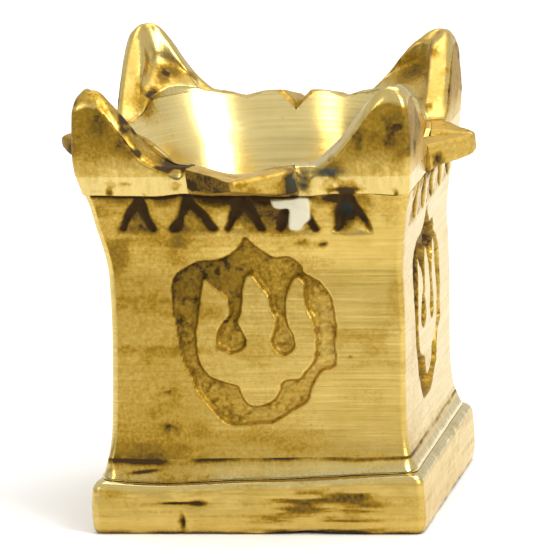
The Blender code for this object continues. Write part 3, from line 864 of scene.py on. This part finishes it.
def horn_sections(name):
    """Rounded sections (stations, points, radius and height), each station's angle, and the lap.

    Each section runs from the outer foot up the face, over the bevelled crest, down the inside
    and out along a sloping squinch to the bore. The lap is the height up to which it is bore.
    """
    middle, before, after, tip, inset, soft = HORNS[name]
    spread = np.linspace(-1.0, 1.0, HORN_STATIONS)
    offset = (45.0 - HORN_EDGE) * spread * (0.5 + 0.5 * np.abs(spread))
    angle = middle + offset
    along = CROWN_HALF * np.tan(np.radians(45.0 - np.abs(offset)))
    start = np.where(offset < 0, before, after)
    first_is_front = middle in (45.0, 225.0)
    power = np.where((offset < 0) == first_is_front, FRONT_POWER, SIDE_POWER)
    slope = np.clip((along - start) / (SLOPE_END - start), 0.0, 1.0)
    foot = np.where(power == FRONT_POWER, FRONT_FOOT, SIDE_FOOT)
    scoop = 1.9 * np.exp(-((along - 9.8) / 1.4) ** 2) * (power == FRONT_POWER)
    at_tip = np.exp(-(offset / 6.0) ** 2)
    at_corner = np.exp(-(offset / 4.0) ** 2)
    foot = foot + rim_height(angle) - RIM
    rim = cup_top(angle)
    crest = np.maximum(foot + (tip - foot) * smoothstep(slope ** power), rim + SMALL_STEP)
    ramp = np.clip(slope * 4.0, 0.0, 1.0)
    outer_top = crest - 0.7 * ramp - 1.7 * at_corner - scoop
    outer_top = np.minimum(outer_top, crest - SMALL_STEP)
    top_radius = float(cup_radius(BORE_TOP))
    rim_radius = cup_radius(rim + SEAM)
    wall = np.maximum(square_radius(HORN_INSIDE, HORN_INSIDE_CORNER, angle), top_radius + 0.1)
    outer = square_radius(CROWN_HALF, ARRIS, angle)
    crest_in = CREST_WIDTH + (inset * 1.41 - CREST_WIDTH) * at_tip
    crest_out = np.maximum(outer - crest_in, wall + 0.12 * (outer - wall))
    fall = np.clip(soft + 0.6 * at_tip, 0.0, 1.0)
    inner_top = np.maximum(crest - 0.1 - 2.6 * fall * ramp, rim + 0.12)
    squinch = BORE_TOP + SQUINCH_SLOPE * (wall - top_radius)
    squinch = np.minimum(squinch, rim + SEAM + 0.75 * (inner_top - rim - SEAM))
    squinch = np.maximum(squinch, rim + SEAM + 0.03)
    lap = rim + SEAM + 0.3 * (squinch - rim - SEAM)
    foot_wall = wall - 0.8 * smoothstep((inner_top - squinch) / 5.0) * (wall > top_radius + 1.0)
    low = np.full_like(angle, COLLAR_TOP + SEAM)
    shelf = rim + SEAM
    corners = np.stack([
        np.stack([outer, low], -1), np.stack([outer, outer_top], -1),
        np.stack([crest_out, crest], -1), np.stack([wall, inner_top], -1),
        np.stack([foot_wall, squinch], -1), np.stack([cup_radius(lap), lap], -1),
        np.stack([rim_radius, shelf], -1),
        np.stack([cup_radius(shelf) + SHELL, shelf], -1),
        np.stack([cup_radius(low + 2.0) + SHELL, low + 2.0], -1),
        np.stack([cup_radius(low) + SHELL, low], -1)], axis=1)
    radii = np.tile(np.array([0.3, 0.4, 0.45, 0.5, 1.2, 0.8, 0.05, 0.05, 0.05, 0.05]),
                    (len(angle), 1))
    radii[:, 1] += 1.3 * at_corner
    radii[:, 2] += 0.9 * at_tip
    radii[:, 3] += 1.5 * soft
    sections = rounded(corners, radii, (70, 9, 6, 14, 8, 12, 1, 1, 1, 1), 6)
    share = np.clip((sections[..., 0] - wall[:, None]) / (outer - wall)[:, None], 0.0, 1.0)
    body = square_radius(half_width(sections[..., 1]), ARRIS, angle[:, None])
    sections[..., 0] += share * (body - outer[:, None])
    return sections, angle, lap


# %% Horn: dents, dirt, old stains and a painted dark reflection
# Dirt on the tops of the walls.
CREST_DIRT = {"front_right": 0.0, "front_left": 0.95, "back_left": 0.1, "back_right": 0.1}
# Old stains, and the bore's dark patch: middle, size along each axis, dirt and verdigris.
HORN_MARKS = {
    "front_right": [((12.6, -24.6, 54.6), (2.6, 2.0, 0.7), 1.1, 0.8),
                    ((9.0, -24.5, 53.4), (0.9, 2.0, 2.0), 1.0, 0.5),
                    ((14.0, -24.2, 55.6), (1.6, 1.6, 0.9), 0.9, 0.1),
                    ((14.8, -25.2, 51.4), (2.0, 1.5, 0.8), 0.8, 0.0)],
    "front_left": [((-20.8, -25.2, 62.0), (1.6, 2.0, 2.2), 0.5, 0.0),
                   ((-11.5, -23.0, 55.4), (2.0, 1.6, 1.2), 0.8, 0.0),
                   ((-17.6, -25.2, 52.9), (1.4, 1.5, 0.4), 0.8, 0.0)],
    "back_left": [((-18.6, 21.2, 60.4), (2.2, 2.0, 2.4), 1.1, 0.0),
                  ((-14.0, 21.5, 60.0), (1.5, 1.6, 1.2), 0.6, 0.0),
                  # The bore's dark patch, which runs on from the cup.
                  ((-21.2, 12.5, 58.0), (2.4, 3.0, 2.2), 0.9, 0.0)],
    "back_right": [((21.5, 15.0, 57.0), (2.0, 3.0, 2.0), 0.9, 0.1),
                   ((18.6, 20.2, 60.6), (3.8, 3.8, 4.2), 1.2, 0.0)]}


def make_horn(name):
    sections, angle, lap = horn_sections(name)
    points = wrap(sections[..., 0], sections[..., 1], angle[:, None])
    tall = points[..., 2]
    normals = outward_normals(points, HORN_STATIONS // 2, 30)
    bore_part = (sections[..., 0] < cup_radius(tall) + 0.3) & (tall <= lap[:, None] + 0.1)
    keep = smoothstep((tall - COLLAR_TOP - 0.3) / 1.0) * ~bore_part
    dents = 0.16 * noise(points, 5.5, 101) + 0.07 * rough(points, 1.7, 102)
    points = points + normals * (dents * keep)[..., None]
    above = smoothstep((tall - 52.0) / 6.0)
    under = 1.0 - smoothstep((tall - COLLAR_TOP - 0.4) / 1.2)
    outer_face = sections[..., 0] > square_radius(HORN_INSIDE + 3.0, 1.0, angle)[:, None]
    grime = smoothstep((rough(points, 6.0, 103) - 0.05) / 0.6)
    soft = smoothstep((rough(points, 2.5, 104) - 0.1) / 0.5)
    inner_corner = (~outer_face) * ~bore_part
    high = smoothstep((tall - 54.5) / 4.5)
    dirt = 0.20 * grime * above + 0.35 * under * soft + 0.28 * inner_corner * soft
    # Outer faces darker towards the top: part stain, part a painted dark reflection of the room.
    dirt += outer_face * (0.17 + high * (0.30 + 0.18 * soft)) + 0.10 * soft
    upward = smoothstep((normals[..., 2] - 0.28) / 0.25)
    dirt += upward * CREST_DIRT[name] * (0.4 + 0.6 * soft)
    polish = np.maximum(bore_part, 0.6 * upward * (name == "front_right"))
    polish = np.maximum(polish, 0.5 * inner_corner * (normals[..., 2] < 0.6))
    green = np.zeros_like(dirt)
    for spot, size, amount, hue in HORN_MARKS.get(name, []):
        mark = np.exp(-np.sum(((points - np.array(spot)) / np.array(size)) ** 2, axis=-1))
        dirt += amount * mark * (0.55 + 0.45 * soft)
        green += hue * mark
    pad = [(1, 1), (0, 0)]
    return make_piece("horn_wall_" + name, close_ends(points), loop_rows=False,
                      dirt=np.pad(dirt, pad), green=np.pad(green, pad),
                      polish=np.pad(polish, pad))


horns = {name: make_horn(name) for name in HORNS}

# %% [markdown]
# ## Lips
# Four beaks carry the pouring grooves out past the faces. Each is flat on top and thins to a
# blunt tip, because its underside rises on the way out.

# %% Lip: a beak with straight sides and a grooved top
# For each lip: its angle, the height of its tip's top, the tip's thickness and its blunting.
LIPS = {"front": (0.0, 54.4, 1.3, 0.4), "right": (90.0, 55.3, 2.7, 1.1),
        "back": (180.0, 55.0, 1.8, 0.6), "left": (270.0, 55.2, 1.9, 0.6)}
LIP_HALF_ANGLE, LIP_STATIONS = 18.1, 121


def make_lip(name, number):
    middle, tip_top, tip_thick, blunt = LIPS[name]
    low = COLLAR_TOP + SEAM
    root_half = float(half_width(low))
    spread = np.linspace(-1.0, 1.0, LIP_STATIONS)
    offset = LIP_HALF_ANGLE * spread * (0.6 + 0.4 * np.abs(spread))
    turn = np.radians(np.abs(offset))
    corner = CROWN_HALF * math.tan(math.radians(LIP_HALF_ANGLE))
    tip = LIP_REACH - 0.15
    reach = tip / (np.cos(turn) + np.sin(turn) * (tip - CROWN_HALF) / corner)
    reach -= blunt * np.exp(-(offset / 1.8) ** 2)
    root = root_half / np.cos(turn)
    share = np.clip((reach - root) / (tip - root_half), 0.0, 1.0)
    rim = rim_height(middle + offset)
    top = rim + (tip_top - rim) * share
    under = low + 0.05 + (tip_top - tip_thick - low) * share
    flat = np.zeros_like(offset)
    corners = np.stack([
        np.stack([flat + cup_radius(low) + SHELL, flat + low], -1),
        np.stack([root, flat + low], -1), np.stack([reach, under], -1),
        np.stack([reach, top], -1),
        np.stack([cup_radius(rim) + SHELL, rim], -1),
        np.stack([flat + cup_radius(53.0) + SHELL, flat + 53.0], -1)], axis=1)
    radii = np.array([0.05, 0.3, 0.3 + 0.5 * blunt, 0.3 + 0.5 * blunt, 0.1, 0.1])
    sections = rounded(corners, radii[None], (3, 16, 12, 30, 2, 2), 7)
    radius, tall = sections[..., 0], sections[..., 1]
    upper = smoothstep((tall - 53.2) / 0.8)
    tall = tall - upper * groove_depth(number, radius, offset[:, None], tip)
    points = wrap(radius, tall, middle + offset[:, None])
    free = smoothstep((radius - 24.6) / 1.5)
    normals = outward_normals(points, LIP_STATIONS // 2, 24)
    bumps = 0.12 * noise(points, 2.6, 111 + number) + 0.05 * rough(points, 1.2, 115)
    points = points + (bumps * free)[..., None] * normals
    soft = smoothstep((rough(points, 2.4, 112) + 0.1) / 0.6)
    side = 1.0 - smoothstep((radius - root[:, None] - 1.2) / 2.0)
    ends = smoothstep((np.abs(offset) - 14.5) / 3.0)[:, None] * smoothstep((54.9 - tall) / 1.0)
    dirt = 0.25 * soft + 0.5 * side * soft * smoothstep((54.6 - tall) / 1.5) + 0.6 * ends * soft
    dirt += 0.26 + 0.26 * (name == "left")
    green = np.zeros_like(dirt)
    if name == "front":
        # The left side of the front lip's tip is painted dark: painted shade.
        shaded_left = smoothstep(-(offset[:, None] + 0.6) / 1.2) * smoothstep((tall - 51.8) / 0.6)
        dirt = dirt + 0.42 * shaded_left * (radius > reach[:, None] - 0.3)
        mark = blot(points[..., 0], tall, 7.9, 53.4, 0.9, 1.5)
        dirt, green = dirt + 0.9 * mark * soft, 0.6 * mark
    pad = [(1, 1), (0, 0)]
    return make_piece("beak_" + name, close_ends(points), loop_rows=False,
                      dirt=np.pad(dirt, pad), green=np.pad(green, pad))


lips = {name: make_lip(name, number) for number, name in enumerate(LIPS)}

# %% [markdown]
# ## Materials
# Brass that has been filed in one direction: a noise stretched along the file's path drives both
# the bump and the roughness. Over it lies the dirt, with painted shade in it, broken up at its
# edges by a finer noise. Where a piece carries a polish value, rubbing has made the metal smoother
# and paler; on the side faces the paler colour is a painted sheen, and at the cove's foot a
# painted highlight. An anisotropic shader could give the streaks too, but it would need tangents
# on every grid.

# %% Short ways to add a node
def link(tree, made, **inputs):
    """Set a node's inputs, a value directly and a socket by a link; n0 names the first input."""
    for key, value in inputs.items():
        socket = made.inputs[int(key[1:])] if key[0] == "n" and key[1:].isdigit() \
            else made.inputs[key.replace("_", " ")]
        if isinstance(value, bpy.types.NodeSocket):
            tree.links.new(value, socket)
        else:
            socket.default_value = value
    return made


def math_node(tree, operation, first, second=0.0, clamp=False):
    made = tree.nodes.new("ShaderNodeMath")
    made.operation = operation
    made.use_clamp = clamp
    return link(tree, made, n0=first, n1=second).outputs[0]


def mix_color(tree, share, first, second):
    made = tree.nodes.new("ShaderNodeMix")
    made.data_type = 'RGBA'
    return link(tree, made, n0=share, n6=first, n7=second).outputs[2]


def noise_node(tree, vector, stretch, detail=4.0, roughness=0.55):
    """Noise in object space, in cells per metre along each axis."""
    mapping = tree.nodes.new("ShaderNodeMapping")
    link(tree, mapping, Vector=vector, Scale=stretch)
    made = tree.nodes.new("ShaderNodeTexNoise")
    link(tree, made, Vector=mapping.outputs[0], Scale=1.0, Detail=detail, Roughness=roughness)
    return made.outputs["Fac"]


def attribute(tree, name):
    made = tree.nodes.new("ShaderNodeAttribute")
    made.attribute_name = name
    return made.outputs["Fac"]


# %% Brass with file marks, dirt, verdigris and wax
# Clean metal, the turned cup, edges rubbed pale and painted sheen, dull metal, thin and thick dirt
# with painted shade, and the rest.
CLEAN = (0.74, 0.54, 0.165, 1.0)
TURNED = (0.88, 0.71, 0.30, 1.0)
WORN_AND_SHEEN = (0.70, 0.61, 0.30, 1.0)
DULL = (0.42, 0.27, 0.035, 1.0)
OCHRE = (0.40, 0.235, 0.018, 1.0)
SOIL_AND_SHADE = (0.045, 0.022, 0.003, 1.0)
GREEN = (0.02, 0.05, 0.045, 1.0)
WAX_COLOR = (0.68, 0.64, 0.47, 1.0)
POLISHED_ROUGHNESS = 0.14
BUMP_DEPTH = 0.00012


def brass(name, stretch, roughness, groove, speckle=0.5, clean=CLEAN):
    """Filed brass; stretch gives the file marks' cells per metre along X, Y and Z.

    roughness is that of clean metal, groove the strength of the marks in the bump, speckle how
    cloudy the metal is, and clean its colour.
    """
    made = bpy.data.materials.new(name)
    made.use_nodes = True
    tree = made.node_tree
    shader = tree.nodes["Principled BSDF"]
    where = tree.nodes.new("ShaderNodeTexCoord").outputs["Object"]
    lines = noise_node(tree, where, stretch, 5.0, 0.65)
    cloud = noise_node(tree, where, (260.0, 260.0, 260.0), 5.0, 0.6)
    fine = noise_node(tree, where, (1900.0, 1900.0, 1900.0), 3.0, 0.6)
    soil_and_shade = math_node(tree, 'ADD', attribute(tree, "dirt"),
                     math_node(tree, 'MULTIPLY', math_node(tree, 'SUBTRACT', fine, 0.5), 0.55))
    soil_and_shade = math_node(tree, 'SUBTRACT', soil_and_shade, 0.12)
    soil_and_shade = math_node(tree, 'MULTIPLY', soil_and_shade, 1.35, clamp=True)
    tone = math_node(tree, 'ADD', math_node(tree, 'MULTIPLY', cloud, speckle),
                     math_node(tree, 'MULTIPLY', lines, 0.55))
    tone = math_node(tree, 'MULTIPLY', math_node(tree, 'SUBTRACT', tone, 0.30), 1.8, clamp=True)
    polish = attribute(tree, "polish")
    color = mix_color(tree, math_node(tree, 'MULTIPLY', polish, 0.55),
                      mix_color(tree, tone, clean, DULL), WORN_AND_SHEEN)
    thin = math_node(tree, 'MULTIPLY', soil_and_shade, 2.2, clamp=True)
    thick = math_node(tree, 'MULTIPLY', math_node(tree, 'SUBTRACT', soil_and_shade, 0.35), 1.6, clamp=True)
    color = mix_color(tree, thick, mix_color(tree, thin, color, OCHRE), SOIL_AND_SHADE)
    green, wax = attribute(tree, "green"), attribute(tree, "wax")
    color = mix_color(tree, green, color, GREEN)
    color = mix_color(tree, wax, color, WAX_COLOR)
    metal = math_node(tree, 'SUBTRACT', 1.0, math_node(tree, 'MULTIPLY', soil_and_shade, 0.65))
    metal = math_node(tree, 'SUBTRACT', metal, math_node(tree, 'MAXIMUM', green, wax), clamp=True)
    dull = math_node(tree, 'MULTIPLY_ADD', soil_and_shade, 0.28)
    link(tree, dull.node, n2=roughness)
    dull = math_node(tree, 'ADD', dull, math_node(tree, 'MULTIPLY',
                                                  math_node(tree, 'SUBTRACT', lines, 0.5), 0.25))
    dull = math_node(tree, 'SUBTRACT', dull, math_node(tree, 'MULTIPLY', polish,
                                                       roughness - POLISHED_ROUGHNESS), clamp=True)
    relief = math_node(tree, 'ADD', lines, math_node(tree, 'MULTIPLY', fine, 0.35))
    keep = math_node(tree, 'SUBTRACT', 1.0, math_node(tree, 'MULTIPLY', polish, 0.85))
    bump = tree.nodes.new("ShaderNodeBump")
    link(tree, bump, Strength=math_node(tree, 'MULTIPLY', keep, groove), Distance=BUMP_DEPTH,
         Height=relief)
    link(tree, shader, Base_Color=color, Metallic=metal, Roughness=dull,
         Specular_IOR_Level=0.25, Normal=bump.outputs[0])
    return made


# %% The four finishes, and the piece each one goes on
across_filed = brass("brass_filed_across", (60.0, 60.0, 2100.0), 0.40, 0.45)
upright_filed = brass("brass_filed_upright", (1500.0, 1500.0, 60.0), 0.38, 0.45)
rough_cast = brass("brass_cast", (420.0, 420.0, 900.0), 0.42, 0.6)
polished = brass("brass_turned", (25.0, 25.0, 2600.0), 0.20, 0.05, 0.2, TURNED)
slots = {"shaft_panels": (across_filed, "brushed_brass"),
         "plinth_block": (across_filed, "brushed_brass"),
         "cove_moulding": (across_filed, "cast_brass"),
         "frieze_ring": (across_filed, "cast_brass"),
         "turned_cup": (polished, "turned_brass")}
for piece in horns.values():
    slots[piece.name] = (upright_filed, "brushed_brass")
for piece in lips.values():
    slots[piece.name] = (rough_cast, "cast_brass")
for name, (finish, slot) in slots.items():
    bpy.data.objects[name].data.materials.append(finish)

# %% [markdown]
# ## Tie the pieces to the model
# Nothing on this object moves, so every piece rides on the one body.

# %% Ride and replace
stands_for = {shaft: "shaft", plinth: "plinth", cove: "foot_cove", collar: "frieze_collar",
              cup: "cup"}
stands_for.update({piece: "horn_" + name for name, piece in horns.items()})
stands_for.update({piece: "lip_" + name for name, piece in lips.items()})
for piece, node in stands_for.items():
    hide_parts(node)
    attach(piece, "root")

# %% [markdown]
# ## Stage, light and camera
# The floor is a sheet of white paper that ends a hand's breadth in front of the foot. The lower
# faces mirror the paper and shine; the tips of the horns lean back, mirror the darker room
# beyond its edge, and stay brown. Two soft boxes stand in front, for the inside of the cup, and
# a large one hangs high up behind.

# %% Floor and world
PAPER_HALF, PAPER_FRONT, PAPER_BACK = 2.0, -0.24, 2.6
DIM_FRONT, BRIGHT_BACK = (0.10, 0.10, 0.09, 1.0), (0.8, 0.8, 0.8, 1.0)


def make_floor():
    mesh = bpy.data.meshes.new("paper_floor")
    mesh.from_pydata([(-PAPER_HALF, PAPER_FRONT, 0.0), (PAPER_HALF, PAPER_FRONT, 0.0),
                      (PAPER_HALF, PAPER_BACK, 0.0), (-PAPER_HALF, PAPER_BACK, 0.0)],
                     [], [(0, 1, 2, 3)])
    floor = bpy.data.objects.new("paper_floor", mesh)
    bpy.context.scene.collection.objects.link(floor)
    paper = bpy.data.materials.new("white_paper")
    paper.use_nodes = True
    shader = paper.node_tree.nodes["Principled BSDF"]
    link(paper.node_tree, shader, Base_Color=(0.95, 0.95, 0.95, 1.0), Roughness=0.9)
    mesh.materials.append(paper)


def make_world():
    """Bright behind and above, dim in front: the greater of two smooth ramps, on Y and on Z."""
    world = bpy.data.worlds.new("room")
    bpy.context.scene.world = world
    world.use_nodes = True
    tree = world.node_tree
    direction = tree.nodes.new("ShaderNodeTexCoord").outputs["Generated"]
    split = tree.nodes.new("ShaderNodeSeparateXYZ")
    link(tree, split, Vector=direction)
    back = tree.nodes.new("ShaderNodeMapRange")
    back.interpolation_type = 'SMOOTHSTEP'
    link(tree, back, Value=split.outputs[1], From_Min=-0.45, From_Max=0.55, To_Min=0.0,
         To_Max=1.0)
    high = tree.nodes.new("ShaderNodeMapRange")
    high.interpolation_type = 'SMOOTHSTEP'
    link(tree, high, Value=split.outputs[2], From_Min=0.10, From_Max=0.36, To_Min=0.0, To_Max=1.0)
    bright = math_node(tree, 'MAXIMUM', back.outputs[0], high.outputs[0])
    color = mix_color(tree, bright, DIM_FRONT, BRIGHT_BACK)
    link(tree, tree.nodes["Background"], Color=color, Strength=1.0)


make_floor()
make_world()


# %% Soft boxes
CUP_AIM = Vector((0.0, 0.0, 0.045))


def soft_box(name, azimuth, elevation, distance, size, power, color):
    """Oblong area light aimed at the cup; azimuth from the front towards the right."""
    az, el = math.radians(azimuth), math.radians(elevation)
    spot = Vector((math.sin(az) * math.cos(el), -math.cos(az) * math.cos(el), math.sin(el)))
    lamp = bpy.data.lights.new(name, 'AREA')
    lamp.shape = 'RECTANGLE'
    lamp.size, lamp.size_y = size
    lamp.energy = power
    lamp.color = color
    box = bpy.data.objects.new(name, lamp)
    box.matrix_world = Matrix.Translation(CUP_AIM + spot * distance) @ \
        spot.to_track_quat('Z', 'Y').to_matrix().to_4x4()
    bpy.context.scene.collection.objects.link(box)


soft_box("box_right", 57.0, 32.0, 1.3, (0.50, 0.90), 11.0, (1.0, 0.99, 0.96))
soft_box("box_left", -38.0, 26.0, 1.4, (0.34, 0.60), 2.3, (1.0, 0.94, 0.70))
soft_box("box_top", 160.0, 78.0, 1.5, (1.2, 1.2), 12.0, (1.0, 1.0, 1.0))

# %% Camera
# How far the frame's middle lies from the aim, to the side and upwards, in metres.
FRAME_SHIFT = (0.00025, 0.00064)


def make_camera(azimuth, elevation, roll, distance, aim, lens):
    """Camera on a sphere round the aim, the frame turned by roll; angles in degrees."""
    az, el, turn = (math.radians(value) for value in (azimuth, elevation, roll))
    toward = Vector((math.sin(az) * math.cos(el), -math.cos(az) * math.cos(el), math.sin(el)))
    right = Vector((math.cos(az), math.sin(az), 0.0))
    up = toward.cross(right)
    side = math.cos(turn) * right + math.sin(turn) * up
    top = math.cos(turn) * up - math.sin(turn) * right
    camera = bpy.data.objects.new("camera", bpy.data.cameras.new("camera"))
    camera.data.lens = lens
    camera.data.sensor_width = 36.0
    camera.data.clip_start = 0.1
    camera.data.clip_end = 20.0
    turned = Matrix((side, top, toward)).transposed().to_4x4()
    center = aim + FRAME_SHIFT[0] * side + FRAME_SHIFT[1] * top
    camera.matrix_world = Matrix.Translation(center + toward * distance) @ turned
    bpy.context.scene.collection.objects.link(camera)
    bpy.context.scene.camera = camera


make_camera(10.27, 12.10, -2.31, 1.459, Vector((0.0, 0.0, 0.0324)), 629.0)
bpy.context.scene.view_settings.view_transform = 'Standard'

# %% [markdown]
# ## The model's box
# The detailed pieces should stay within the box of the imported model.

# %% Print the model's box
print("model", [list(corner) for corner in cad_box])
